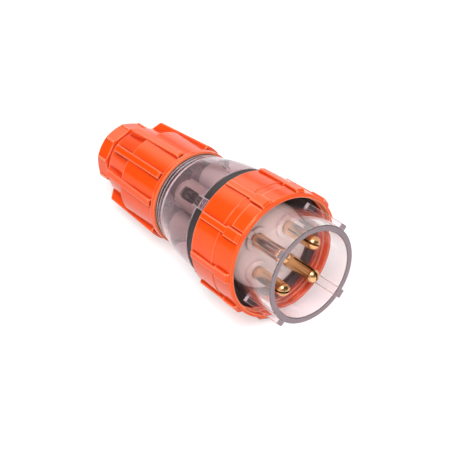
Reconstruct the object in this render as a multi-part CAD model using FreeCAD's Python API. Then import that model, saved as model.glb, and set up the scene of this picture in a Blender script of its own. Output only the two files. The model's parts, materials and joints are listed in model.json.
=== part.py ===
import FreeCAD, Part

import math
import os

# Industrial round-pin plug: a clear body with four pins, a free-turning coupling ring in front,
# and a screwed-on rear collar with a cable gland. All lengths are in millimetres.
# Each solid is built on a bench axis: X runs along the plug towards the pin tips, X = 0 is the
# front edge of the coupling ring, and angles turn from +Y towards +Z. At the end the whole plug
# is laid down on its side, as it rests on a table.

# Clearances
slip = 0.3
fit = 0.05
seat = 0.2
thread_slip = 0.12
recess_slip = 0.4

# Coupling ring
ring_length = 38.9
ring_wall = 2.4
ring_rear_drop = 0.8
ring_thread_step = 0.3
ring_step_from_front = 17.5
ring_panel_drop = 0.4
ring_step_run = 0.3
ring_edge_round = 1.2
ring_rear_round = 0.8
ring_rib_count = 10
ring_rib_width = 4.4
ring_rib_height = 1.7
ring_rib_rear_height = 1.8
ring_rib_end = 2.2
ring_rib_round = 0.5
ring_pad_width = 6.4
ring_pad_length = 13.0
ring_pad_height = 0.25
ring_plate_sectors = [2, 3]
ring_plate_length = 11.5
ring_plate_height = 0.35
ring_plate_spread_deg = 24.0
ring_lip_length = 4.0

# Clear mouldings: shroud in front, neck under the ring, flared chamber, threaded spigot at the rear
lug_angle = 46.0
lug_count = 4
shroud_reach = 24.7
shroud_step = 3.4
shroud_wall = 3.9
shroud_rib_height = 3.0
shroud_rib_width = 5.3
shroud_rib_setback = 3.5
clear_rib_round = 0.35
neck_radius = 34.9
neck_wall = 3.4
neck_front = -12.5
web_behind_neck = 9.5
web_thickness = 4.0
flange_behind_ring = 8.1
flange_rise = 1.9
flange_thickness = 1.5
body_tongue_length = 3.0
body_tongue_wall = 1.6
flare_middle_share = 0.433
flare_fullness = 0.73
chamber_length = 36.6
barrel_straight = 1.6
barrel_wall = 2.9
land_drop = 1.1
land_length = 3.6
spigot_drop = 2.4
spigot_length = 13.0
spigot_wall = 2.9
lug_width = 7.6
lug_height = 0.5
lug_tail = 3.6

# Ring retainer and seals
retainer_rise = 2.4
retainer_setback = 4.2
retainer_thickness = 3.2
retainer_depth = 2.3
retainer_gap_width = 8.0
gasket_thickness = 3.0
band_thickness = 1.3
band_slip = 0.5
band_reach = 10.4
body_seal_section = 0.75
insulator_seal_section = 0.85

# Contacts and the insulator that holds them
pin_circle_radius = 16.15
pin_radius = 4.25
pin_root_relief = 0.25
pin_tip = 16.5
pin_slot_width = 1.1
pin_slot_length = 21.0
pin_slot_directions_deg = [152.0, 130.0, 176.0, 92.0]
terminal_step = 1.35
terminal_length = 54.9
wire_bore_radius = 2.9
wire_bore_depth = 25.0
insulator_thickness = 11.0
insulator_boss_wall = 3.15
insulator_boss_height = 1.7
clamp_screw_radius = 2.5
clamp_screw_length = 4.2
clamp_screw_from_end = 9.9
clamp_screw_pitch = 9.0
screw_slot_width = 1.0
screw_slot_depth = 1.2

# Terminal carrier and its fixing screws
carrier_plate_rim = 0.3
carrier_plate_thickness = 3.0
tower_wall = 3.1
tower_room = 3.1
tower_end_lip = 2.0
tower_lip_width = 1.2
window_width = 7.0
window_length = 23.5
window_from_end = 3.4
carrier_screw_circle_radius = 20.5
carrier_screw_radius = 1.5
carrier_screw_head_radius = 2.8
carrier_screw_head_height = 2.4
carrier_screw_bite = 7.0

# Rear collar
collar_gap = 4.2
collar_length = 61.7
collar_lip_height = 1.5
collar_lip_length = 3.4
collar_step_from_front = 38.2
collar_step_height = 2.6
collar_step_run = 1.4
collar_socket_wall = 1.7
collar_socket_run = 14.0
collar_wall = 2.8
collar_shoulder_width = 5.6
grip_from_front = 4.7
grip_height = 2.6
grip_rear_height = 2.7
grip_from_rear = 7.5
grip_foot_from_rear = 1.5
grip_width = 4.8
grip_spacing_deg = 34.0
grip_round = 0.7
wing_from_front = 9.7
wing_height = 3.0
wing_rear_height = 2.9
wing_from_rear = 4.0
wing_foot_from_rear = 0.3
wing_width = 12.4
wing_round = 0.9
gland_bore_radius = 15.5
gland_neck_wall = 3.1
gland_neck_length = 13.0
gland_depth = 21.5
gland_floor_thickness = 3.0
cord_hole_radius = 9.0

# Gland parts
grommet_length = 31.5
grommet_hole_radius = 8.0
grommet_mouth_rise = 1.5
grommet_mouth_depth = 4.0
washer_thickness = 2.4
nut_gap = 5.8
nut_length = 12.6
nut_wall = 3.5
nut_side_count = 10
nut_corner_height = 0.5
nut_corner_width = 1.6
nut_end_wall = 4.4
nut_rim_drop = 2.5
nut_rim_length = 3.6

# Cord clamp inside the spigot
clamp_setback = 6.3
clamp_length = 11.0
clamp_width = 38.0
clamp_rail_height = 9.0
clamp_saddle_height = 10.0
clamp_half_gap = 0.6
clamp_cord_radius = 7.0
clamp_screw_spacing = 26.0
clamp_bolt_radius = 2.0
clamp_bolt_head_radius = 3.6
clamp_bolt_head_height = 2.6
clamp_bolt_length = 17.0

# Stations along the plug that follow from the sizes above
ring_rear = -ring_length
gasket_front = neck_front + gasket_thickness
retainer_front = neck_front - retainer_setback
retainer_rear = retainer_front - retainer_thickness
ring_lip_front = retainer_rear - seat
ring_lip_rear = ring_lip_front - ring_lip_length
web_front = neck_front - web_behind_neck
web_rear = web_front - web_thickness
insulator_face = web_front + insulator_thickness
boss_face = insulator_face + insulator_boss_height
flange_front = ring_rear - flange_behind_ring
flange_rear = flange_front - flange_thickness
tongue_front = flange_front + body_tongue_length
barrel_end = flange_front - chamber_length
flare_end = barrel_end + barrel_straight
flare_middle = flange_rear + (flare_end - flange_rear) * flare_middle_share
lug_front = ring_rear - recess_slip
spigot_front = barrel_end - land_length
spigot_end = spigot_front - spigot_length
terminal_end = web_front - terminal_length
tower_end = terminal_end - fit - tower_end_lip
window_rear = terminal_end + window_from_end
window_front = window_rear + window_length
carrier_rear = web_rear - carrier_plate_thickness
collar_front = barrel_end - collar_gap
collar_step = collar_front - collar_step_from_front
collar_rear = collar_front - collar_length
grip_front = collar_front - grip_from_front
grip_rear = collar_rear + grip_from_rear
wing_front = collar_front - wing_from_front
wing_rear = collar_rear + wing_from_rear
wing_foot = collar_rear + wing_foot_from_rear
gland_neck_end = collar_rear - gland_neck_length
gland_floor = collar_rear + gland_depth
grommet_front = gland_floor - fit
grommet_rear = grommet_front - grommet_length
washer_rear = grommet_rear - fit - washer_thickness
nut_front = collar_rear - nut_gap
nut_rear = nut_front - nut_length
nut_shoulder = nut_rear + nut_end_wall
clamp_centre = spigot_front - clamp_setback

# Radii that follow from the sizes above, from the contacts outwards and from the neck outwards
lug_angles = [lug_angle + 360.0 / lug_count * k for k in range(lug_count)]
pin_root_radius = pin_radius - pin_root_relief
insulator_boss_radius = pin_radius + insulator_boss_wall
terminal_radius = pin_radius + terminal_step
tower_radius = terminal_radius + fit + tower_wall
tower_lip_radius = terminal_radius - tower_lip_width
carrier_plate_radius = pin_circle_radius + tower_radius + carrier_plate_rim
chamber_radius = pin_circle_radius + tower_radius + tower_room
barrel_radius = chamber_radius + barrel_wall
land_radius = barrel_radius - land_drop
spigot_radius = barrel_radius - spigot_drop
spigot_bore = spigot_radius - spigot_wall
shroud_radius = neck_radius - shroud_step
shroud_bore = shroud_radius - shroud_wall
neck_bore = neck_radius - neck_wall
tongue_radius = neck_bore + body_tongue_wall
flange_radius = neck_radius + flange_rise
flare_middle_radius = barrel_radius + (flange_radius - barrel_radius) * flare_fullness
band_radius = neck_radius + band_thickness
retainer_radius = neck_radius + retainer_rise
ring_lip_bore = neck_radius + slip
ring_rear_bore_radius = band_radius + band_slip
ring_recess_radius = retainer_radius + recess_slip
gasket_radius = ring_recess_radius - recess_slip
ring_mouth_radius = ring_recess_radius + ring_thread_step
ring_front_radius = ring_mouth_radius + ring_wall
ring_rear_radius = ring_front_radius - ring_rear_drop
collar_main_radius = spigot_radius + collar_socket_wall
collar_front_radius = collar_main_radius + collar_lip_height
collar_shoulder_radius = collar_main_radius - collar_step_height
grip_front_radius = collar_main_radius + grip_height
grip_rear_radius = collar_shoulder_radius + grip_rear_height
wing_front_radius = collar_main_radius + wing_height
wing_rear_radius = collar_shoulder_radius + wing_rear_height
gland_neck_radius = gland_bore_radius + gland_neck_wall
collar_rear_radius = gland_neck_radius + collar_shoulder_width
nut_radius = gland_neck_radius + nut_wall
nut_rim_radius = nut_radius - nut_rim_drop


def polar(x, radius, angle):
    """Point at a radius and an angle about the bench axis."""
    turn = math.radians(angle)
    return FreeCAD.Vector(x, radius * math.cos(turn), radius * math.sin(turn))


def tube(x0, x1, outer, inner=0.0):
    """Tube or rod on the bench axis between two stations."""
    low, high = min(x0, x1), max(x0, x1)
    start = FreeCAD.Vector(low, 0, 0)
    axis = FreeCAD.Vector(1, 0, 0)
    solid = Part.makeCylinder(outer, high - low, start, axis)
    if inner > 0:
        solid = solid.cut(Part.makeCylinder(inner, high - low, start, axis))
    return solid


def rod_at(x0, x1, radius, circle, angle):
    """Rod parallel to the bench axis, on a circle about it."""
    low, high = min(x0, x1), max(x0, x1)
    return Part.makeCylinder(radius, high - low, polar(low, circle, angle), FreeCAD.Vector(1, 0, 0))


def turned(points):
    """Solid of revolution about the bench axis, from (station, radius) corners."""
    corners = [FreeCAD.Vector(x, 0, r) for x, r in points]
    face = Part.Face(Part.makePolygon(corners + corners[:1]))
    return face.revolve(FreeCAD.Vector(0, 0, 0), FreeCAD.Vector(1, 0, 0), 360)


def fin(points, width, angle, soft=0.0):
    """Rib in the half-plane at an angle, from (station, radius) corners, its sides rounded at the top."""
    corners = [FreeCAD.Vector(x, r, -width / 2) for x, r in points]
    face = Part.Face(Part.makePolygon(corners + corners[:1]))
    solid = face.extrude(FreeCAD.Vector(0, 0, width))
    if soft > 0:
        solid = solid.makeFillet(soft, side_edges(solid, width, points[-1][1] + 0.5))
    return spun(solid, angle)


def side_edges(solid, width, low):
    """Edges on both flat sides of a rib, where every end stands above a radius."""
    chosen = []
    for edge in solid.Edges:
        ends = [vertex.Point for vertex in edge.Vertexes]
        on_side = all(abs(abs(end.z) - width / 2) < 1e-6 for end in ends)
        if on_side and ends[0].z * ends[-1].z > 0 and all(end.y > low for end in ends):
            chosen.append(edge)
    return chosen


def spun(shape, angle):
    """Copy of a shape, turned about the bench axis."""
    copy = shape.copy()
    copy.rotate(FreeCAD.Vector(0, 0, 0), FreeCAD.Vector(1, 0, 0), angle)
    return copy


def joined(shapes):
    """One shape fused from several."""
    return shapes[0].multiFuse(shapes[1:]).removeSplitter()


def torus(x, circle, section):
    """O-ring about the bench axis."""
    return Part.makeTorus(circle, section, FreeCAD.Vector(x, 0, 0), FreeCAD.Vector(1, 0, 0))


def make_coupling_ring():
    """Ring with grip ribs, a thread seat at its mouth and an inner lip that pulls on the retainer."""
    step = -ring_step_from_front
    shell = turned([
        (0, ring_mouth_radius),
        (0, ring_front_radius - ring_edge_round),
        (-ring_edge_round * 0.3, ring_front_radius - ring_edge_round * 0.3),
        (-ring_edge_round, ring_front_radius),
        (step, ring_front_radius - ring_panel_drop),
        (step - ring_step_run, ring_front_radius),
        (ring_rear + ring_rear_round, ring_rear_radius),
        (ring_rear, ring_rear_radius - ring_rear_round * 0.5),
        (ring_rear, ring_rear_bore_radius),
        (ring_lip_rear, ring_rear_bore_radius),
        (ring_lip_rear, ring_lip_bore),
        (ring_lip_front, ring_lip_bore),
        (ring_lip_front, ring_recess_radius),
        (gasket_front, ring_recess_radius),
        (gasket_front + 0.4, ring_mouth_radius),
    ])
    root = ring_rear_bore_radius + 1.0
    rib = fin([
        (-ring_edge_round, root),
        (-ring_edge_round, ring_front_radius + ring_rib_height * 0.4),
        (-ring_edge_round - 1.5, ring_front_radius + ring_rib_height),
        (ring_rear + ring_rib_end, ring_rear_radius + ring_rib_rear_height),
        (ring_rear + 0.8, ring_rear_radius - 0.4),
        (ring_rear + 0.8, root),
    ], ring_rib_width, 0, ring_rib_round)
    pad_top = ring_front_radius + ring_rib_height + ring_pad_height
    pad = fin([
        (-ring_edge_round, root),
        (-ring_edge_round, ring_front_radius + ring_rib_height * 0.4),
        (-ring_edge_round - 1.5, pad_top),
        (-ring_pad_length, pad_top),
        (-ring_pad_length - 0.8, pad_top - 0.8),
        (-ring_pad_length - 0.8, root),
    ], ring_pad_width, 0, ring_rib_round)
    step_angle = 360.0 / ring_rib_count
    grips = []
    for k in range(ring_rib_count):
        grips += [spun(rib, step_angle * k), spun(pad, step_angle * k)]
    keep = tube(0, ring_rear, pad_top + 1, ring_rear_bore_radius + 0.6)
    plates = [marking_plate(step_angle * (k + 0.5)) for k in ring_plate_sectors]
    return joined([shell] + [grip.common(keep) for grip in grips] + plates)


def marking_plate(angle):
    """Low blank plate on the front of the coupling ring, between two ribs."""
    top = ring_front_radius + ring_plate_height
    corners = [FreeCAD.Vector(-ring_edge_round, root, 0) for root in (ring_front_radius - 1.0, top - 0.1)]
    corners += [FreeCAD.Vector(-ring_edge_round - 0.6, top, 0), FreeCAD.Vector(-ring_plate_length, top, 0),
                FreeCAD.Vector(-ring_plate_length, ring_front_radius - 1.0, 0)]
    face = Part.Face(Part.makePolygon(corners + corners[:1]))
    plate = face.revolve(FreeCAD.Vector(0, 0, 0), FreeCAD.Vector(1, 0, 0), ring_plate_spread_deg)
    return spun(plate, angle - ring_plate_spread_deg / 2)


def shroud_shell():
    """Turned form of the clear front moulding, from the shroud rim to the end of the neck."""
    groove_radius = neck_radius - retainer_depth
    rim = shroud_reach - 0.5
    return turned([
        (rim, shroud_bore),
        (shroud_reach, shroud_bore + 0.5),
        (shroud_reach, shroud_radius - 0.5),
        (rim, shroud_radius),
        (neck_front, shroud_radius),
        (neck_front, neck_radius),
        (retainer_front + fit, neck_radius),
        (retainer_front + fit, groove_radius),
        (retainer_rear - fit, groove_radius),
        (retainer_rear - fit, neck_radius),
        (flange_front + fit, neck_radius),
        (flange_front + fit, tongue_radius + fit),
        (tongue_front + fit, tongue_radius + fit),
        (tongue_front + fit, neck_bore),
        (web_rear, neck_bore),
        (web_rear, 0),
        (web_front, 0),
        (web_front, shroud_bore),
    ])


def body_shell():
    """Turned form of the clear body, from its tongue in the neck to the end of the spigot."""
    return turned([
        (tongue_front, neck_bore),
        (tongue_front, tongue_radius),
        (flange_front, tongue_radius),
        (flange_front, flange_radius - 0.4),
        (flange_front - 0.4, flange_radius),
        (flange_rear, flange_radius)] + flare_points() + [
        (barrel_end, barrel_radius),
        (barrel_end, land_radius),
        (spigot_front, land_radius),
        (spigot_front, spigot_radius),
        (spigot_end, spigot_radius),
        (spigot_end, spigot_bore),
        (barrel_end + 1.0, spigot_bore),
        (barrel_end + 3.0, chamber_radius)] + flare_points(inside=True) + [
        (flange_rear, neck_bore),
    ])


def flare_points(inside=False):
    """Hollow curve of the body between the flange and the barrel, or the same curve on the wall's inside."""
    middle = FreeCAD.Vector(flare_middle, 0, flare_middle_radius)
    start = FreeCAD.Vector(flange_rear, 0, flange_radius)
    end = FreeCAD.Vector(flare_end, 0, barrel_radius)
    curve = Part.Arc(start, middle, end)
    steps = 12
    span = curve.LastParameter - curve.FirstParameter
    outline = []
    for k in range(1, steps + 1):
        spot = curve.value(curve.FirstParameter + span * k / steps)
        outline.append((spot.x, spot.z))
    if inside:
        outline = [(x, r - barrel_wall) for x, r in reversed(outline) if r < neck_radius - 0.5]
    return outline


def make_clear_shroud():
    """Clear front moulding: shroud with four outer ribs, a web across it and the neck behind."""
    rib_top = shroud_radius + shroud_rib_height
    rib_foot = gasket_front + shroud_rib_setback
    rib = fin([(rib_foot, shroud_bore + 1.0), (rib_foot, rib_top),
               (shroud_reach - 0.6, rib_top), (shroud_reach - 0.3, rib_top - 0.4),
               (shroud_reach - 0.3, shroud_bore + 1.0)], shroud_rib_width, 0, clear_rib_round)
    shroud = joined([shroud_shell()] + [spun(rib, angle) for angle in lug_angles])
    holes = []
    for angle in lug_angles:
        holes.append(rod_at(web_rear - 1, web_front + 1, terminal_radius + fit, pin_circle_radius, angle))
        holes.append(rod_at(web_rear - 1, web_front + 1, carrier_screw_radius + fit,
                            carrier_screw_circle_radius, angle + 180.0 / lug_count))
    return shroud.cut(Part.makeCompound(holes))


def make_clear_body():
    """Clear moulding behind the neck: flange with four lugs, flared chamber and spigot."""
    lug_top = flange_radius + lug_height
    lug_rear = flange_front - lug_tail
    lug = fin([(lug_rear, neck_radius - 1.0), (lug_rear, lug_top - 0.4),
               (lug_rear + 0.4, lug_top), (lug_front, lug_top), (lug_front, neck_radius - 1.0)],
              lug_width, 0, clear_rib_round)
    lug = lug.cut(tube(flange_front, lug_front + 1, neck_radius + fit))
    return joined([body_shell()] + [spun(lug, angle) for angle in lug_angles])


def make_insulator():
    """Disc at the bottom of the shroud, with a raised boss round each pin and a groove for its seal."""
    radius = shroud_bore - fit
    groove = insulator_seal_section * 2
    seal_x = insulator_seal_station()
    disc = turned([
        (web_front, 0), (insulator_face, 0), (insulator_face, radius - 0.6),
        (insulator_face - 0.6, radius), (seal_x + groove * 0.6, radius),
        (seal_x + groove * 0.6, shroud_bore - groove), (seal_x - groove * 0.6, shroud_bore - groove),
        (seal_x - groove * 0.6, radius), (web_front, radius),
    ])
    bosses = []
    for angle in lug_angles:
        bosses.append(rod_at(insulator_face - 1, boss_face, insulator_boss_radius, pin_circle_radius, angle))
    disc = joined([disc] + bosses)
    holes = []
    for angle in lug_angles:
        holes.append(rod_at(web_front - 1, boss_face + 1, pin_root_radius + fit, pin_circle_radius, angle))
        holes.append(rod_at(web_front - 1, web_front + carrier_screw_bite + 0.5, carrier_screw_radius + fit,
                            carrier_screw_circle_radius, angle + 180.0 / lug_count))
    return disc.cut(Part.makeCompound(holes))


def insulator_seal_station():
    """Station of the seal in the middle of the insulator's edge."""
    return (web_front + insulator_face) / 2


def make_contact_pin(angle, slot_direction):
    """Brass pin with a domed split tip in front and a wire tunnel with screw holes at the rear."""
    dome = pin_tip - pin_radius
    tip = Part.makeSphere(pin_radius, FreeCAD.Vector(dome, 0, 0))
    root = tube(web_front, boss_face + seat, pin_root_radius)
    terminal = tube(terminal_end, web_front, terminal_radius)
    pin = joined([tube(boss_face + seat, dome, pin_radius), tip, root, terminal])
    slot = Part.makeBox(pin_slot_length + 1, pin_slot_width, 4 * pin_radius,
                        FreeCAD.Vector(pin_tip - pin_slot_length, -pin_slot_width / 2, -2 * pin_radius))
    slot.rotate(FreeCAD.Vector(0, 0, 0), FreeCAD.Vector(1, 0, 0), slot_direction - angle - 90)
    pin = pin.cut(slot)
    pin = pin.cut(tube(terminal_end - 1, terminal_end + wire_bore_depth, wire_bore_radius))
    for station in clamp_screw_stations():
        start = FreeCAD.Vector(station, 0, 0)
        outwards = FreeCAD.Vector(0, 1, 0)
        pin = pin.cut(Part.makeCylinder(clamp_screw_radius, terminal_radius + 1, start, outwards))
    pin.translate(FreeCAD.Vector(0, pin_circle_radius, 0))
    return spun(pin, angle)


def clamp_screw_stations():
    """Stations of the two wire screws of each contact."""
    rear = terminal_end + clamp_screw_from_end
    return [rear + clamp_screw_pitch, rear]


def make_terminal_screws():
    """Slotted grub screws that press on the wires, two in each contact, pointing outwards."""
    screws = []
    base = pin_circle_radius + wire_bore_radius + 0.1
    for angle in lug_angles:
        for station in clamp_screw_stations():
            screw = Part.makeCylinder(clamp_screw_radius - fit, clamp_screw_length,
                                      FreeCAD.Vector(station, base, 0), FreeCAD.Vector(0, 1, 0))
            top = base + clamp_screw_length
            slot = Part.makeBox(4 * clamp_screw_radius, 2 * screw_slot_depth, screw_slot_width,
                                FreeCAD.Vector(station - 2 * clamp_screw_radius, top - screw_slot_depth,
                                               -screw_slot_width / 2))
            screws.append(spun(screw.cut(slot), angle))
    return Part.makeCompound(screws)


def make_terminal_carrier():
    """Grey moulding behind the web: a plate with one windowed tower round each contact."""
    plate = tube(carrier_rear, web_rear, carrier_plate_radius)
    towers = []
    cuts = [rod_at(carrier_rear - 1, web_rear + 1, carrier_screw_radius + fit,
                   carrier_screw_circle_radius, angle + 180.0 / lug_count) for angle in lug_angles]
    window = window_cutter()
    for angle in lug_angles:
        towers.append(rod_at(tower_end, web_rear, tower_radius, pin_circle_radius, angle))
        cuts.append(rod_at(tower_end + tower_end_lip, web_rear + 1, terminal_radius + fit,
                           pin_circle_radius, angle))
        cuts.append(rod_at(tower_end - 1, web_rear + 1, tower_lip_radius, pin_circle_radius, angle))
        cuts.append(spun(window, angle))
    return joined([plate] + towers).cut(Part.makeCompound(cuts))


def window_cutter():
    """Slot with a round rear end, through the outer wall of a tower."""
    half = window_width / 2
    start = FreeCAD.Vector(window_rear + half, pin_circle_radius, 0)
    depth = tower_radius + 2
    round_end = Part.makeCylinder(half, depth, start, FreeCAD.Vector(0, 1, 0))
    straight = Part.makeBox(window_front - window_rear - half, depth, window_width,
                            FreeCAD.Vector(window_rear + half, pin_circle_radius, -half))
    return round_end.fuse(straight).removeSplitter()


def make_carrier_screws():
    """Pan-head screws through the carrier and the web into the insulator."""
    screws = []
    for angle in lug_angles:
        middle = angle + 180.0 / lug_count
        head = rod_at(carrier_rear - carrier_screw_head_height, carrier_rear, carrier_screw_head_radius,
                      carrier_screw_circle_radius, middle)
        shank = rod_at(carrier_rear - 0.5, web_front + carrier_screw_bite, carrier_screw_radius,
                       carrier_screw_circle_radius, middle)
        slot = Part.makeBox(2 * screw_slot_depth, 4 * carrier_screw_head_radius, screw_slot_width,
                            FreeCAD.Vector(carrier_rear - carrier_screw_head_height - screw_slot_depth,
                                           carrier_screw_circle_radius - 2 * carrier_screw_head_radius,
                                           -screw_slot_width / 2))
        screws.append(joined([head, shank]).cut(spun(slot, middle)))
    return Part.makeCompound(screws)


def make_ring_retainer():
    """Split ring snapped into the neck groove in front of the coupling ring's lip."""
    ring = tube(retainer_rear, retainer_front, retainer_radius, neck_radius - retainer_depth + fit)
    gap = Part.makeBox(retainer_thickness + 2, retainer_radius + 5, retainer_gap_width,
                       FreeCAD.Vector(retainer_rear - 1, 0, -retainer_gap_width / 2))
    return ring.cut(spun(gap, lug_angle + 180.0 / lug_count))


def make_face_gasket():
    """Black ring at the bottom of the gap between the shroud and the coupling ring, with a raised bead."""
    bead_radius = (shroud_radius + gasket_radius) / 2
    return turned([
        (neck_front + fit, shroud_radius + fit),
        (gasket_front - 0.5, shroud_radius + fit),
        (gasket_front - 0.5, bead_radius - 0.9),
        (gasket_front, bead_radius - 0.4),
        (gasket_front, bead_radius + 0.4),
        (gasket_front - 0.5, bead_radius + 0.9),
        (gasket_front - 0.5, gasket_radius),
        (neck_front + fit, gasket_radius),
    ])


def make_neck_seal():
    """Black band on the neck between the body flange and the coupling ring, notched at the lugs."""
    band = tube(flange_front + fit, flange_front + band_reach, band_radius, neck_radius + fit)
    notch = Part.makeBox(lug_front + fit - flange_front + 1, band_radius + 5, lug_width + 2 * fit,
                         FreeCAD.Vector(flange_front - 1, 0, -lug_width / 2 - fit))
    return band.cut(Part.makeCompound([spun(notch, angle) for angle in lug_angles]))


def make_collar_seal():
    """O-ring on the front of the spigot, carried along by the collar as it unscrews."""
    return torus(spigot_front - body_seal_section - slip, spigot_radius + fit + body_seal_section,
                 body_seal_section)


def make_insulator_seal():
    """O-ring round the insulator, against the bore of the shroud."""
    return torus(insulator_seal_station(), shroud_bore - insulator_seal_section, insulator_seal_section)


def collar_shell():
    """Turned form of the collar, with the spigot's socket in front and the gland's neck behind."""
    seal_outer = spigot_radius + 2 * body_seal_section + 3 * fit
    seal_floor = spigot_front - 2 * body_seal_section - 2 * slip
    socket = spigot_radius + thread_slip
    socket_end = spigot_end - collar_socket_run
    throat = collar_rear_radius - collar_wall
    floor_front = gland_floor + gland_floor_thickness
    lip_rear = collar_front - collar_lip_length
    return turned([
        (collar_front, land_radius + slip),
        (collar_front, collar_front_radius - 0.4),
        (collar_front - 0.4, collar_front_radius),
        (lip_rear, collar_front_radius),
        (lip_rear - 0.8, collar_main_radius),
        (collar_step, collar_main_radius),
        (collar_step - collar_step_run, collar_shoulder_radius),
        (collar_rear + 0.8, collar_rear_radius),
        (collar_rear, collar_rear_radius - 0.8),
        (collar_rear, gland_neck_radius),
        (gland_neck_end, gland_neck_radius),
        (gland_neck_end, gland_bore_radius),
        (gland_floor, gland_bore_radius),
        (gland_floor, cord_hole_radius),
        (floor_front, cord_hole_radius),
        (floor_front, throat),
        (socket_end, collar_main_radius - collar_wall),
        (spigot_end - 1.0, socket),
        (seal_floor, socket),
        (seal_floor, seal_outer),
        (collar_front - 0.6, seal_outer),
    ])


def make_rear_collar():
    """Screwed-on collar with six narrow grips and two wide wings."""
    root = collar_rear_radius - collar_wall + 1.0
    grip = fin([(grip_front, root), (grip_front, grip_front_radius - 0.8),
                (grip_front - 0.8, grip_front_radius), (grip_rear, grip_rear_radius),
                (collar_rear + grip_foot_from_rear, collar_rear_radius),
                (collar_rear + grip_foot_from_rear, root)], grip_width, 0, grip_round)
    wing = fin([(wing_front, root), (wing_front, wing_front_radius - 1.0),
                (wing_front - 1.0, wing_front_radius), (wing_rear, wing_rear_radius),
                (wing_foot, collar_rear_radius), (wing_foot, root)], wing_width, 0)
    limit = turned([
        (grip_front, 0), (grip_front, wing_front_radius), (wing_front, wing_front_radius),
        (wing_rear, wing_rear_radius), (wing_foot, collar_rear_radius), (wing_foot, 0),
    ])
    inside = turned([
        (collar_front, 0),
        (collar_front, collar_main_radius - 1.0),
        (collar_step, collar_main_radius - 1.0),
        (collar_step - collar_step_run, collar_shoulder_radius - 1.0),
        (collar_rear, collar_rear_radius - 1.0),
        (collar_rear, 0),
    ])
    wing = wing.common(limit)
    wing = wing.makeFillet(wing_round, side_edges(wing, wing_width, collar_rear_radius + 0.5))
    additions = []
    for side in (0, 180):
        for k in (-1, 0, 1):
            additions.append(spun(grip, lug_angle + 90 + side + k * grip_spacing_deg))
        additions.append(spun(wing, lug_angle + side))
    return joined([collar_shell()] + [extra.cut(inside) for extra in additions])


def make_cord_grommet():
    """Rubber sleeve that the gland nut presses round the cord, with a flared mouth at the rear."""
    outer = gland_bore_radius - fit
    return turned([
        (grommet_rear, grommet_hole_radius + grommet_mouth_rise),
        (grommet_rear, outer),
        (grommet_front, outer),
        (grommet_front, grommet_hole_radius),
        (grommet_rear + grommet_mouth_depth, grommet_hole_radius),
    ])


def make_thrust_washer():
    """Slip washer between the turning gland nut and the grommet."""
    return tube(washer_rear, washer_rear + washer_thickness, gland_bore_radius - slip, cord_hole_radius + 0.5)


def make_gland_nut():
    """Ten-sided nut over the threaded neck, with a narrow ridge on each corner."""
    flat = nut_radius * math.cos(math.pi / nut_side_count)
    corners = [polar(nut_rear, nut_radius, nut_corner_angle(k)) for k in range(nut_side_count)]
    face = Part.Face(Part.makePolygon(corners + corners[:1]))
    prism = face.extrude(FreeCAD.Vector(nut_length, 0, 0))
    outline = turned([
        (nut_rear, 0), (nut_rear, nut_rim_radius - 0.8), (nut_rear + 0.8, nut_rim_radius),
        (nut_rear + nut_rim_length, nut_radius + nut_corner_height),
        (nut_front - 0.8, nut_radius + nut_corner_height), (nut_front, flat - 0.2), (nut_front, 0),
    ])
    ridges = []
    for k in range(nut_side_count):
        ridge = fin([(nut_rear, flat - 2), (nut_rear, nut_radius + nut_corner_height),
                     (nut_front, nut_radius + nut_corner_height), (nut_front, flat - 2)],
                    nut_corner_width, nut_corner_angle(k))
        ridges.append(ridge)
    nut = joined([prism] + ridges).common(outline)
    bore = gland_neck_radius + thread_slip
    nut = nut.cut(tube(nut_shoulder, nut_front + 1, bore))
    nut = nut.cut(tube(nut_rear - 1, nut_front, cord_hole_radius))
    boss = tube(nut_shoulder - 1, washer_rear - fit, gland_bore_radius - slip, cord_hole_radius)
    return nut.fuse(boss).removeSplitter()


def nut_corner_angle(k):
    """Angle of a corner of the gland nut."""
    return lug_angle + 12.0 + 360.0 / nut_side_count * k


def clamp_block(height, side):
    """One half of the cord clamp, with a hollow for the cord. It is cut to the spigot's bore."""
    low = clamp_half_gap / 2
    block = Part.makeBox(clamp_length, clamp_width, height,
                         FreeCAD.Vector(clamp_centre - clamp_length / 2, -clamp_width / 2, low))
    if side < 0:
        block.rotate(FreeCAD.Vector(0, 0, 0), FreeCAD.Vector(1, 0, 0), 180)
    block = block.cut(tube(clamp_centre - clamp_length, clamp_centre + clamp_length, clamp_cord_radius))
    return block


def make_clamp_base():
    """Lower half of the cord clamp, a bridge across the spigot's bore."""
    block = clamp_block(clamp_rail_height, -1)
    half = spigot_bore - fit
    bridge = Part.makeBox(clamp_length, 2 * half, clamp_rail_height,
                          FreeCAD.Vector(clamp_centre - clamp_length / 2, -half,
                                         -clamp_rail_height - clamp_half_gap / 2))
    around = tube(clamp_centre - clamp_length, clamp_centre + clamp_length, half, clamp_cord_radius)
    bridge = bridge.common(around)
    block = joined([block, bridge])
    holes = [bolt_rod(y, -clamp_rail_height * 2, 0, clamp_bolt_radius + fit) for y in clamp_bolt_sides()]
    return spun(block.cut(Part.makeCompound(holes)), lug_angle)


def make_clamp_saddle():
    """Upper half of the cord clamp."""
    block = clamp_block(clamp_saddle_height, 1)
    holes = [bolt_rod(y, 0, clamp_saddle_height * 2, clamp_bolt_radius + fit) for y in clamp_bolt_sides()]
    return spun(block.cut(Part.makeCompound(holes)), lug_angle)


def clamp_bolt_sides():
    """Sideways places of the two clamp screws."""
    return [-clamp_screw_spacing / 2, clamp_screw_spacing / 2]


def bolt_rod(y, z0, z1, radius):
    """Rod across the clamp."""
    return Part.makeCylinder(radius, z1 - z0, FreeCAD.Vector(clamp_centre, y, z0), FreeCAD.Vector(0, 0, 1))


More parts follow.
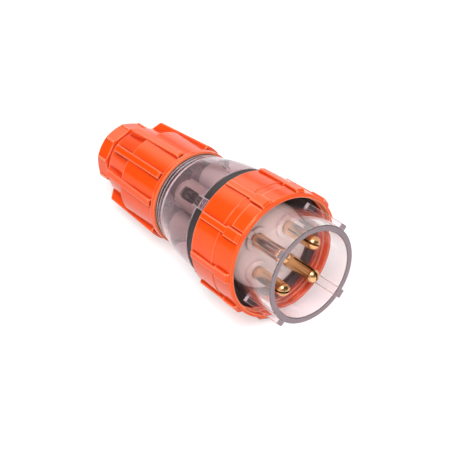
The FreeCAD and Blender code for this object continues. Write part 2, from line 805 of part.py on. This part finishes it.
def make_clamp_screws():
    """Two screws that draw the clamp's halves together."""
    screws = []
    top = clamp_saddle_height + clamp_half_gap / 2
    for y in clamp_bolt_sides():
        head = bolt_rod(y, top, top + clamp_bolt_head_height, clamp_bolt_head_radius)
        shank = bolt_rod(y, top - clamp_bolt_length, top + 0.5, clamp_bolt_radius)
        floor = top + clamp_bolt_head_height - screw_slot_depth
        corner = FreeCAD.Vector(clamp_centre - 2 * clamp_bolt_head_radius, y - screw_slot_width / 2, floor)
        slot = Part.makeBox(4 * clamp_bolt_head_radius, screw_slot_width, 2 * screw_slot_depth, corner)
        screws.append(spun(joined([head, shank]).cut(slot), lug_angle))
    return Part.makeCompound(screws)


def lie_down():
    """Tilt that brings two ring ribs and the lowest grip of the collar down on one table plane."""
    ring_drop = corner_drop(ring_rear_radius + ring_rib_rear_height, ring_rib_width, ring_rib_round,
                            math.pi / ring_rib_count)
    grip_turn = math.radians(lug_angle - grip_spacing_deg)
    grip_drop = corner_drop(grip_rear_radius, grip_width, grip_round, grip_turn)
    return math.degrees(math.atan2(ring_drop - grip_drop, ring_rear + ring_rib_end - grip_rear))


def corner_drop(radius, width, soft, turn):
    """Drop below the bench axis of a rib's rounded corner, for a rib a turn away from straight down."""
    return (radius - soft) * math.cos(turn) + (width / 2 - soft) * math.sin(turn) + soft


lie_tilt_deg = lie_down()


def laid(shape):
    """Shape brought from the bench axis to the pose on the table, before it is shifted."""
    copy = shape.copy()
    copy.rotate(FreeCAD.Vector(0, 0, 0), FreeCAD.Vector(0, 1, 0), -lie_tilt_deg)
    return copy


def make_nodes():
    """All sub-parts on the bench axis, by name."""
    nodes = {
        "clear_shroud": make_clear_shroud(),
        "clear_body": make_clear_body(),
        "pin_insulator": make_insulator(),
        "insulator_seal": make_insulator_seal(),
        "terminal_carrier": make_terminal_carrier(),
        "carrier_screws": make_carrier_screws(),
        "terminal_screws": make_terminal_screws(),
        "coupling_ring": make_coupling_ring(),
        "ring_retainer": make_ring_retainer(),
        "face_gasket": make_face_gasket(),
        "neck_seal": make_neck_seal(),
        "collar_seal": make_collar_seal(),
        "rear_collar": make_rear_collar(),
        "clamp_base": make_clamp_base(),
        "clamp_saddle": make_clamp_saddle(),
        "clamp_screws": make_clamp_screws(),
        "cord_grommet": make_cord_grommet(),
        "thrust_washer": make_thrust_washer(),
        "gland_nut": make_gland_nut(),
    }
    for k, angle in enumerate(lug_angles):
        nodes["contact_pin_%d" % (k + 1)] = make_contact_pin(angle, pin_slot_directions_deg[k])
    return nodes


def table_shift(shapes):
    """Shift that puts the origin at the middle of the footprint, at table height."""
    box = Part.makeCompound(shapes).optimalBoundingBox(False, False)
    return FreeCAD.Vector(-(box.XMin + box.XMax) / 2, -(box.YMin + box.YMax) / 2, -box.ZMin)


def main():
    """Build, lay down and write every sub-part."""
    os.makedirs("parts", exist_ok=True)
    nodes = {name: laid(shape) for name, shape in make_nodes().items()}
    shift = table_shift(list(nodes.values()))
    for name, shape in nodes.items():
        shape.translate(shift)
        shape.exportStep("parts/%s.step" % name)


main()
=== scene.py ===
# Round industrial plug: orange ring, collar and gland nut, clear body, brass pins.
import json
import math

import bmesh
import bpy
from mathutils import Matrix, Vector


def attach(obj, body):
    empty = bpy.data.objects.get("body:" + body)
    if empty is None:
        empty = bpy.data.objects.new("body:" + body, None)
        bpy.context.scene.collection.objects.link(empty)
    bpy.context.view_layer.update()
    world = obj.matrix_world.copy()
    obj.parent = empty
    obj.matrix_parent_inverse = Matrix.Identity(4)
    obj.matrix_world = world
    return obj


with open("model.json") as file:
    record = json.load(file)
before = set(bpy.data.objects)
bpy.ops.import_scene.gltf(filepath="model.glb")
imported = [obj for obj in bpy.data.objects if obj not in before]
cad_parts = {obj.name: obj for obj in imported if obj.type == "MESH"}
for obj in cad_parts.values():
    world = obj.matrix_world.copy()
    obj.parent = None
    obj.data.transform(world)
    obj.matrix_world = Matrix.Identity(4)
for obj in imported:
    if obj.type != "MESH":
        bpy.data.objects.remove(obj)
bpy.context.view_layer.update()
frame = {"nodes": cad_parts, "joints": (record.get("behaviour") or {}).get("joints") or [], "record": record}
mm = 0.001
print("frame loaded:", len(frame["nodes"]), "CAD nodes")

# The plug's own axes: x along the pins, 0 at the front edge of the coupling ring
ringJoint = next(joint for joint in frame["joints"] if joint["name"] == "coupling_turn")
ringJointStation = -20.0 * mm
alongPlug = Vector(ringJoint["axis"]).normalized()
acrossPlug = Vector((0, 1, 0))
plugSpace = Matrix((alongPlug, acrossPlug, alongPlug.cross(acrossPlug))).transposed().to_4x4()
plugSpace.translation = Vector(ringJoint["pos_m"]) - alongPlug * ringJointStation


def hexColour(text, alpha=1.0):
    # an sRGB colour as linear light
    parts = [int(text[i:i + 2], 16) / 255 for i in (0, 2, 4)]
    linear = [p / 12.92 if p <= 0.04045 else ((p + 0.055) / 1.055) ** 2.4 for p in parts]
    return (*linear, alpha)


def addNode(tree, kind, inputs=(), **settings):
    # each input takes a value or another node's output; the settings are the node's own properties
    # a Mix node's inputs: 0 is the share, 2 and 3 are two levels, 6 and 7 are two colours
    node = tree.nodes.new(kind)
    for name, value in settings.items():
        setattr(node, name, value)
    for socket, value in dict(inputs).items():
        if isinstance(value, bpy.types.NodeSocket):
            tree.links.new(value, node.inputs[socket])
        else:
            node.inputs[socket].default_value = value
    return node


def newMaterial(name):
    material = bpy.data.materials.new(name)
    material.use_nodes = True
    material.node_tree.nodes.clear()
    return material, material.node_tree


def towardsLevel(tree, vector, direction):
    # how far a vector reaches in a direction
    return addNode(tree, "ShaderNodeVectorMath", {0: vector, 1: Vector(direction).normalized()},
                   operation="DOT_PRODUCT").outputs["Value"]


def paintedLightShare(tree, look, inside):
    # how much a spot is a sharp edge (inside) or a crevice (outside), from 0 to the look's share; this places
    # painted highlights on edges and painted shade in crevices
    openness = addNode(tree, "ShaderNodeAmbientOcclusion", {"Distance": look["mm"] * mm},
                       samples=8, inside=inside, only_local=inside)
    return addNode(tree, "ShaderNodeMapRange", {
        "Value": openness.outputs["AO"], "From Min": look["shut"], "From Max": look["open"],
        "To Min": look["share"], "To Max": 0.0}).outputs["Result"]


def bodyColourWithPaintedLight(tree, place, look):
    # a soft cloud of two near shades, then painted shade in crevices and a painted highlight on sharp edges,
    # each in a colour of its own
    cloud = addNode(tree, "ShaderNodeTexNoise", {
        "Vector": place, "Scale": 1 / (look["cloudMm"] * mm), "Detail": look["cloudDetail"]})
    colour = addNode(tree, "ShaderNodeMix", {
        0: cloud.outputs["Fac"], 6: hexColour(look["deepColour"]), 7: hexColour(look["colour"])},
        data_type="RGBA")
    for kind, inside in (("creviceShade", False), ("edge", True)):
        if kind in look:
            colour = addNode(tree, "ShaderNodeMix", {
                0: paintedLightShare(tree, look[kind], inside), 6: colour.outputs[2],
                7: hexColour(look[kind]["colour"])}, data_type="RGBA")
    return colour.outputs[2]


def relief(tree, place, look):
    # rounded corners first, then each layer of fine relief over them
    normal = addNode(tree, "ShaderNodeBevel", {"Radius": look["cornerMm"] * mm},
                     samples=look["cornerSamples"]).outputs["Normal"]
    for layer in look["layers"]:
        bumps = addNode(tree, "ShaderNodeTexNoise", {
            "Vector": place, "Scale": 1 / (layer["mm"] * mm), "Detail": layer["detail"]})
        normal = addNode(tree, "ShaderNodeBump", {
            "Height": bumps.outputs["Fac"], "Normal": normal, "Strength": layer["strength"],
            "Distance": layer["heightMm"] * mm}).outputs["Normal"]
    return normal


# Orange pieces
orangeLook = {
    "colour": "FF5208", "deepColour": "F64608", "cloudMm": 18.0, "cloudDetail": 2.0, "glossTint": "FFD2A0",
    # painted shade: crevices darkened to a deep red
    "creviceShade": {"colour": "B01800", "mm": 3.0, "shut": 0.45, "open": 0.97, "share": 0.9},
    # painted highlight: sharp edges lightened to a pale orange
    "edge": {"colour": "FFA078", "mm": 1.2, "shut": 0.6, "open": 0.95, "share": 0.8},
    "leastRoughness": 0.09, "mostRoughness": 0.17, "smearMm": 6.0, "smearDetail": 4.0,
    "cornerMm": 0.45, "cornerSamples": 6,
    "layers": [{"mm": 14.0, "detail": 1.0, "strength": 0.05, "heightMm": 1.0},
               {"mm": 0.35, "detail": 2.0, "strength": 0.03, "heightMm": 0.1}],
}


def orangePolycarbonate(look):
    # injection-moulded polycarbonate: deep even colour, high gloss, soft moulded corners
    material, tree = newMaterial("moulded orange polycarbonate")
    place = addNode(tree, "ShaderNodeTexCoord").outputs["Object"]
    smears = addNode(tree, "ShaderNodeTexNoise", {
        "Vector": place, "Scale": 1 / (look["smearMm"] * mm), "Detail": look["smearDetail"]})
    shine = addNode(tree, "ShaderNodeMapRange", {
        "Value": smears.outputs["Fac"], "To Min": look["leastRoughness"], "To Max": look["mostRoughness"]})
    plastic = addNode(tree, "ShaderNodeBsdfPrincipled", {
        "Base Color": bodyColourWithPaintedLight(tree, place, look), "Roughness": shine.outputs["Result"],
        "Normal": relief(tree, place, look), "IOR": 1.5, "Specular Tint": hexColour(look["glossTint"])})
    addNode(tree, "ShaderNodeOutputMaterial", {"Surface": plastic.outputs["BSDF"]})
    return material


# Clear pieces: the wall, its sharp edges, which are whitened as a painted highlight, and its ends, which face
# along the plug
shroudLook = {
    "tint": "FCF4F5", "roughness": 0.03, "clearness": 0.975, "glossTint": "FFF0EC", "shadeTint": "ECE2E6",
    "edge": {"mm": 0.7, "shut": 0.6, "open": 0.95, "share": 1.0},
    "edgeColour": "E4D8DE", "edgeClearness": 0.5,
    "endColour": "BCA6B0", "endRoughness": 0.3, "endClearness": 0.45, "endFacing": 0.9,
    "smokeColour": "D8A4A4", "smokePerMetre": 22.0,
    "wavesMm": 9.0, "wavesStrength": 0.02, "wavesHeightMm": 0.5,
}
chamberLook = dict(shroudLook, tint="F0E2E6", glossTint="E4BCC8", smokeColour="C48E92", smokePerMetre=80.0,
                   edgeColour="FFFFFF", edgeClearness=0.3,
                   endColour="F0E6EA", endRoughness=0.08, endClearness=0.8)


def clearPolycarbonate(name, look):
    # clear polycarbonate: a faint mauve cast that deepens along the wall, frosted where a wall ends
    material, tree = newMaterial(name)
    coordinates = addNode(tree, "ShaderNodeTexCoord")
    waves = addNode(tree, "ShaderNodeTexNoise", {
        "Vector": coordinates.outputs["Object"], "Scale": 1 / (look["wavesMm"] * mm), "Detail": 1.0})
    flow = addNode(tree, "ShaderNodeBump", {
        "Height": waves.outputs["Fac"], "Strength": look["wavesStrength"],
        "Distance": look["wavesHeightMm"] * mm})
    ends = addNode(tree, "ShaderNodeMapRange", {
        "Value": towardsLevel(tree, coordinates.outputs["Normal"], alongPlug),
        "From Min": look["endFacing"]}).outputs["Result"]
    # painted highlight: sharp edges turn whiter and less clear
    edges = paintedLightShare(tree, look["edge"], True)
    colour = addNode(tree, "ShaderNodeMix", {
        0: edges, 6: hexColour(look["tint"]), 7: hexColour(look["edgeColour"])}, data_type="RGBA")
    colour = addNode(tree, "ShaderNodeMix", {
        0: ends, 6: colour.outputs[2], 7: hexColour(look["endColour"])}, data_type="RGBA")
    roughness = addNode(tree, "ShaderNodeMix", {0: ends, 2: look["roughness"], 3: look["endRoughness"]})
    clearness = addNode(tree, "ShaderNodeMix", {0: edges, 2: look["clearness"], 3: look["edgeClearness"]})
    clearness = addNode(tree, "ShaderNodeMix", {0: ends, 2: clearness.outputs[0], 3: look["endClearness"]})
    plastic = addNode(tree, "ShaderNodeBsdfPrincipled", {
        "Base Color": colour.outputs[2], "Roughness": roughness.outputs[0],
        "Transmission Weight": clearness.outputs[0], "Normal": flow.outputs["Normal"],
        "IOR": 1.58, "Specular Tint": hexColour(look["glossTint"])})
    smoke = addNode(tree, "ShaderNodeVolumeAbsorption", {
        "Color": hexColour(look["smokeColour"]), "Density": look["smokePerMetre"]})
    # lamp light passes straight through, so that the pieces inside aren't left in the dark
    path = addNode(tree, "ShaderNodeLightPath")
    lampLight = addNode(tree, "ShaderNodeBsdfTransparent", {"Color": hexColour(look["shadeTint"])})
    surface = addNode(tree, "ShaderNodeMixShader", {
        0: path.outputs["Is Shadow Ray"], 1: plastic.outputs["BSDF"], 2: lampLight.outputs["BSDF"]})
    addNode(tree, "ShaderNodeOutputMaterial", {
        "Surface": surface.outputs["Shader"], "Volume": smoke.outputs["Volume"]})
    return material


# Opaque mouldings
# the crevice colour in each look below is painted shade, darkening the crevices
insulatorLook = {
    "colour": "FCF8F4", "deepColour": "F2ECE8", "creviceShadeColour": "B4A29E", "roughness": 0.35,
    "grainMm": 0.5, "grainStrength": 0.1, "cornerMm": 0.4, "milkiness": 0.35,
}
carrierLook = {
    "colour": "B2A9A2", "deepColour": "A0978F", "creviceShadeColour": "58484A", "roughness": 0.45,
    "grainMm": 0.5, "grainStrength": 0.15, "cornerMm": 0.3, "milkiness": 0.0,
}
blackNylonLook = {
    "colour": "2E2A2C", "deepColour": "221F21", "creviceShadeColour": "0E0D10", "roughness": 0.42,
    "grainMm": 0.4, "grainStrength": 0.2, "cornerMm": 0.3, "milkiness": 0.0,
}
clampLook = dict(blackNylonLook, colour="765658", deepColour="604446", creviceShadeColour="34262A")
rubberLook = {
    "colour": "352C2C", "deepColour": "241E1F", "creviceShadeColour": "0E0D10", "roughness": 0.55,
    "grainMm": 0.3, "grainStrength": 0.35, "cornerMm": 0.3, "milkiness": 0.0,
}
mouldingCloud = {"cloudMm": 12.0, "cloudDetail": 3.0}
# how far and how strongly the painted shade reaches into crevices
mouldingCreviceShade = {"mm": 5.0, "shut": 0.2, "open": 0.9, "share": 0.8}
mouldingGrain = {"detail": 3.0, "heightMm": 0.1}
mouldingCornerSamples = 4
milkMm = (2.0, 1.6, 1.4)  # how far red, green and blue light reach into a milky plastic


def mouldedPlastic(name, look):
    # plain moulded nylon or rubber with a fine spark-eroded skin; milkiness lets light into it
    material, tree = newMaterial(name)
    place = addNode(tree, "ShaderNodeTexCoord").outputs["Object"]
    # painted shade darkens the crevices
    colour = bodyColourWithPaintedLight(tree, place, dict(
        look, **mouldingCloud, creviceShade=dict(mouldingCreviceShade, colour=look["creviceShadeColour"])))
    skin = relief(tree, place, {
        "cornerMm": look["cornerMm"], "cornerSamples": mouldingCornerSamples,
        "layers": [dict(mouldingGrain, mm=look["grainMm"], strength=look["grainStrength"])]})
    plastic = addNode(tree, "ShaderNodeBsdfPrincipled", {
        "Base Color": colour, "Normal": skin, "Roughness": look["roughness"], "IOR": 1.5,
        "Subsurface Weight": look["milkiness"], "Subsurface Radius": Vector(milkMm) * mm,
        "Subsurface Scale": 1.0})
    addNode(tree, "ShaderNodeOutputMaterial", {"Surface": plastic.outputs["BSDF"]})
    return material


# Metal pieces
# the crevice colour in each metal look is painted shade, darkening the crevices
brassLook = {
    "colour": "EBBE88", "deepColour": "D8A068", "creviceShadeColour": "3A2818", "roughness": 0.22,
    "ringsMm": 0.35, "ringStrength": 0.12,
    # painted shade: the pins darken behind the insulator
    "behindShadeColour": "4E4A40", "behindShadeFromMm": -30.0, "behindShadeToMm": -33.0,
}
steelLook = {"colour": "C3C2C0", "deepColour": "A8A7A6", "creviceShadeColour": "2C2C2C", "roughness": 0.28,
             "ringsMm": 0.6, "ringStrength": 0.08}
# steel drawn dark as painted shade, for the terminal screws inside the chamber
shadedSteelLook = {"colour": "6A6862", "deepColour": "55534E", "creviceShadeColour": "1E1E1C", "roughness": 0.4,
                 "ringsMm": 0.6, "ringStrength": 0.08}
metalStain = {"cloudMm": 7.0, "cloudDetail": 4.0}
# how far and how strongly the painted shade reaches into crevices
metalCreviceShade = {"mm": 6.0, "shut": 0.4, "open": 0.92, "share": 0.95}
toolRings = {"distortion": 0.4, "detail": 1.0, "heightMm": 0.05, "cornerMm": 0.25, "cornerSamples": 4}
wavePeriod = 0.314  # the wave texture's scale that gives one band per unit


def turnedMetal(name, look):
    # turned bar: bright, with fine tool rings round the axis, drawn coarser than real so that they show
    material, tree = newMaterial(name)
    place = addNode(tree, "ShaderNodeTexCoord").outputs["Object"]
    # painted shade darkens the crevices
    colour = bodyColourWithPaintedLight(tree, place, dict(
        look, **metalStain, creviceShade=dict(metalCreviceShade, colour=look["creviceShadeColour"])))
    if "behindShadeColour" in look:
        # the part of a pin behind the insulator is painted darker, as painted shade inside the chamber
        axisStart = plugSpace.translation.dot(alongPlug)
        behindShade = addNode(tree, "ShaderNodeMapRange", {
            "Value": towardsLevel(tree, place, alongPlug), "From Min": axisStart + look["behindShadeFromMm"] * mm,
            "From Max": axisStart + look["behindShadeToMm"] * mm})
        colour = addNode(tree, "ShaderNodeMix", {
            0: behindShade.outputs["Result"], 6: colour, 7: hexColour(look["behindShadeColour"])},
            data_type="RGBA").outputs[2]
    rings = addNode(tree, "ShaderNodeTexWave", {
        "Vector": place, "Scale": wavePeriod / (look["ringsMm"] * mm), "Distortion": toolRings["distortion"],
        "Detail": toolRings["detail"]}, wave_type="BANDS", bands_direction="X")
    corners = addNode(tree, "ShaderNodeBevel", {"Radius": toolRings["cornerMm"] * mm},
                      samples=toolRings["cornerSamples"])
    cut = addNode(tree, "ShaderNodeBump", {
        "Height": rings.outputs["Fac"], "Normal": corners.outputs["Normal"],
        "Strength": look["ringStrength"], "Distance": toolRings["heightMm"] * mm})
    metal = addNode(tree, "ShaderNodeBsdfPrincipled", {
        "Base Color": colour, "Normal": cut.outputs["Normal"],
        "Metallic": 1.0, "Roughness": look["roughness"]})
    addNode(tree, "ShaderNodeOutputMaterial", {"Surface": metal.outputs["BSDF"]})
    return material


finishes = {  # by the material slot that the CAD gives a node
    "orange_plastic": orangePolycarbonate(orangeLook),
    "clear_plastic": clearPolycarbonate("clear mauve polycarbonate", shroudLook),
    "insulator_plastic": mouldedPlastic("natural nylon", insulatorLook),
    "carrier_plastic": mouldedPlastic("grey glass-filled nylon", carrierLook),
    "brass": turnedMetal("turned brass", brassLook),
    "steel": turnedMetal("zinc-plated steel", steelLook),
    "black_rubber": mouldedPlastic("nitrile rubber", rubberLook),
    "black_plastic": mouldedPlastic("black nylon", blackNylonLook),
}
brownNylon = mouldedPlastic("brown nylon", clampLook)
ownFinishes = {  # by node, where one differs from its slot
    "clear_body": clearPolycarbonate("thick clear polycarbonate", chamberLook),
    # the terminal screws are painted dark as painted shade inside the chamber
    "terminal_screws": turnedMetal("steel darkened as painted shade", shadedSteelLook),
    "clamp_base": brownNylon,
    "clamp_saddle": brownNylon,
}
for part in frame["record"]["subparts"]:
    node = frame["nodes"][part["node"]]
    node.data.materials.clear()
    node.data.materials.append(ownFinishes.get(part["node"], finishes[part["material_slot"]]))


# Threads, which the CAD leaves plain; millimetres from the plug's axis and along it
threads = {
    "ringThread": ("coupling", "orange_plastic",
                   {"root": 38.0, "crest": 37.2, "start": -1.6, "pitch": 3.2, "width": 1.8, "turns": 2.0}),
    "neckThread": ("collar", "orange_plastic",
                   {"root": 18.6, "crest": 18.68, "start": -150.6, "pitch": 2.0, "width": 1.0, "turns": 5.5}),
}
ridgeShape = {"stepsPerTurn": 48, "runOutTurns": 0.25, "leastHeight": 0.02, "flatShare": 0.2, "sunkMm": 0.05}


def threadRidge(name, body, slotName, look):
    # one ridge swept along a helix about the plug's axis, tapering to nothing at both ends
    shape = ridgeShape
    steps = int(look["turns"] * shape["stepsPerTurn"])
    runOut = shape["runOutTurns"] * shape["stepsPerTurn"]
    height = look["crest"] - look["root"]
    bed = look["root"] - math.copysign(shape["sunkMm"], height)
    half, flat = look["width"] / 2, look["width"] * shape["flatShare"]
    mesh = bmesh.new()
    rows = []
    for i in range(steps + 1):
        turn = 2 * math.pi * i / shape["stepsPerTurn"]
        station = look["start"] - look["pitch"] * i / shape["stepsPerTurn"]
        fade = min(1.0, i / runOut, (steps - i) / runOut)
        crest = look["root"] + height * max(fade, shape["leastHeight"])
        section = [(-half, bed), (-flat, crest), (flat, crest), (half, bed)]
        outward = Vector((0, math.cos(turn), math.sin(turn)))
        rows.append([mesh.verts.new((Vector((station + along, 0, 0)) + outward * radius) * mm)
                     for along, radius in section])
    for first, second in zip(rows, rows[1:]):
        for k in range(4):
            mesh.faces.new((first[k], first[(k + 1) % 4], second[(k + 1) % 4], second[k]))
    mesh.faces.new(rows[0])
    mesh.faces.new(rows[-1][::-1])
    bmesh.ops.recalc_face_normals(mesh, faces=mesh.faces)
    data = bpy.data.meshes.new(name)
    mesh.to_mesh(data)
    mesh.free()
    data.transform(plugSpace)
    data.materials.append(finishes[slotName])
    for face in data.polygons:
        face.use_smooth = True
    piece = bpy.data.objects.new(name, data)
    bpy.context.scene.collection.objects.link(piece)
    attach(piece, body)


for name, (body, slotName, look) in threads.items():
    threadRidge(name, body, slotName, look)
print("threads cut:", len(threads))


# Studio: white paper floor
floorLook = {"colour": "C4C4C4", "sizeM": 6.0, "glow": 0.58}


def makeFloor(look):
    # pale paper that keeps the plug's shadow; it also glows, but only to what looks at it
    half = look["sizeM"] / 2
    data = bpy.data.meshes.new("studioFloor")
    corners = [(-half, -half, 0), (half, -half, 0), (half, half, 0), (-half, half, 0)]
    data.from_pydata(corners, [], [(0, 1, 2, 3)])
    floor = bpy.data.objects.new("studioFloor", data)
    bpy.context.scene.collection.objects.link(floor)
    material, tree = newMaterial("white studio paper")
    path = addNode(tree, "ShaderNodeLightPath")
    seen = path.outputs["Is Camera Ray"]
    for ray in ("Is Glossy Ray", "Is Transmission Ray"):
        seen = addNode(tree, "ShaderNodeMath", {0: seen, 1: path.outputs[ray]},
                       operation="MAXIMUM").outputs[0]
    level = addNode(tree, "ShaderNodeMath", {0: seen, 1: look["glow"]}, operation="MULTIPLY")
    paper = addNode(tree, "ShaderNodeBsdfDiffuse", {"Color": hexColour(look["colour"])})
    glow = addNode(tree, "ShaderNodeEmission", {"Strength": level.outputs[0]})
    both = addNode(tree, "ShaderNodeAddShader", {0: paper.outputs[0], 1: glow.outputs[0]})
    addNode(tree, "ShaderNodeOutputMaterial", {"Surface": both.outputs[0]})
    data.materials.append(material)


# One soft lamp, metres
lampLook = {"place": (0.35, -0.6, 1.1), "towards": (0, 0, 0.04), "size": (0.6, 0.6), "watts": 12.0}


def makeLamp(look):
    data = bpy.data.lights.new("keyLamp", "AREA")
    data.shape = "RECTANGLE"
    data.size, data.size_y = look["size"]
    data.energy = look["watts"]
    lamp = bpy.data.objects.new("keyLamp", data)
    lamp.location = look["place"]
    lamp.rotation_euler = (Vector(look["towards"]) - lamp.location).to_track_quat("-Z", "Y").to_euler()
    bpy.context.scene.collection.objects.link(lamp)


# The room: white to the eye and through clear walls, shaded to the plug, patchy where it is mirrored
roomLook = {
    "seen": 1.0, "brightTowards": (0.7, -0.5, 0.3), "dimSide": 0.3, "brightSide": 0.82,
    "patchScale": 2.4, "patchFrom": 0.35, "patchTo": 0.65, "patchDark": 0.04, "patchPale": 0.38,
    "windows": [{"towards": (-0.68, 0.2, 0.72), "level": 2.6, "from": 0.86, "to": 0.98},
                {"towards": (-0.63, 0.75, 0.12), "level": 1.3, "from": 0.9, "to": 0.985}],
}


def makeRoom(look):
    world = bpy.data.worlds.new("studio room")
    bpy.context.scene.world = world
    world.use_nodes = True
    tree = world.node_tree
    tree.nodes.clear()
    direction = addNode(tree, "ShaderNodeTexCoord").outputs["Generated"]
    level = addNode(tree, "ShaderNodeMapRange", {
        "Value": towardsLevel(tree, direction, look["brightTowards"]), "From Min": -1.0,
        "To Min": look["dimSide"], "To Max": look["brightSide"]}).outputs["Result"]
    patches = addNode(tree, "ShaderNodeTexNoise", {
        "Vector": direction, "Scale": look["patchScale"], "Detail": 0.0})
    mirrored = addNode(tree, "ShaderNodeMapRange", {
        "Value": patches.outputs["Fac"], "From Min": look["patchFrom"], "From Max": look["patchTo"],
        "To Min": look["patchDark"], "To Max": look["patchPale"]},
        interpolation_type="SMOOTHSTEP").outputs["Result"]
    for window in look["windows"]:
        glint = addNode(tree, "ShaderNodeMapRange", {
            "Value": towardsLevel(tree, direction, window["towards"]), "From Min": window["from"],
            "From Max": window["to"]}, interpolation_type="SMOOTHSTEP")
        mirrored = addNode(tree, "ShaderNodeMix", {
            0: glint.outputs["Result"], 2: mirrored, 3: window["level"]}).outputs[0]
    path = addNode(tree, "ShaderNodeLightPath")
    for ray, shown in (("Is Glossy Ray", mirrored), ("Is Transmission Ray", look["seen"]),
                       ("Is Camera Ray", look["seen"])):
        level = addNode(tree, "ShaderNodeMix", {0: path.outputs[ray], 2: level, 3: shown}).outputs[0]
    room = addNode(tree, "ShaderNodeBackground", {"Strength": level, "Color": (1, 1, 1, 1)})
    addNode(tree, "ShaderNodeOutputWorld", {"Surface": room.outputs[0]})


# The photo's camera, in the plug's own axes, millimetres
cameraLook = {
    "place": (510.95, -444.61, 427.58), "right": (0.61676, 0.78715, 0.0), "up": (-0.40482, 0.31719, 0.85762),
    "lensMm": 108.93, "sensorMm": 36.0,
}


def makeCamera(look):
    right = Vector(look["right"]).normalized()
    up = Vector(look["up"])
    up = (up - right * up.dot(right)).normalized()
    turn = Matrix((right, up, right.cross(up))).transposed().to_4x4()
    turn.translation = Vector(look["place"]) * mm
    data = bpy.data.cameras.new("productCamera")
    data.lens = look["lensMm"]
    data.sensor_width = look["sensorMm"]
    camera = bpy.data.objects.new("productCamera", data)
    camera.matrix_world = plugSpace @ turn
    bpy.context.scene.collection.objects.link(camera)
    bpy.context.scene.camera = camera


makeFloor(floorLook)
makeLamp(lampLook)
makeRoom(roomLook)
makeCamera(cameraLook)
bpy.context.scene.view_settings.view_transform = "Standard"
print("studio ready")
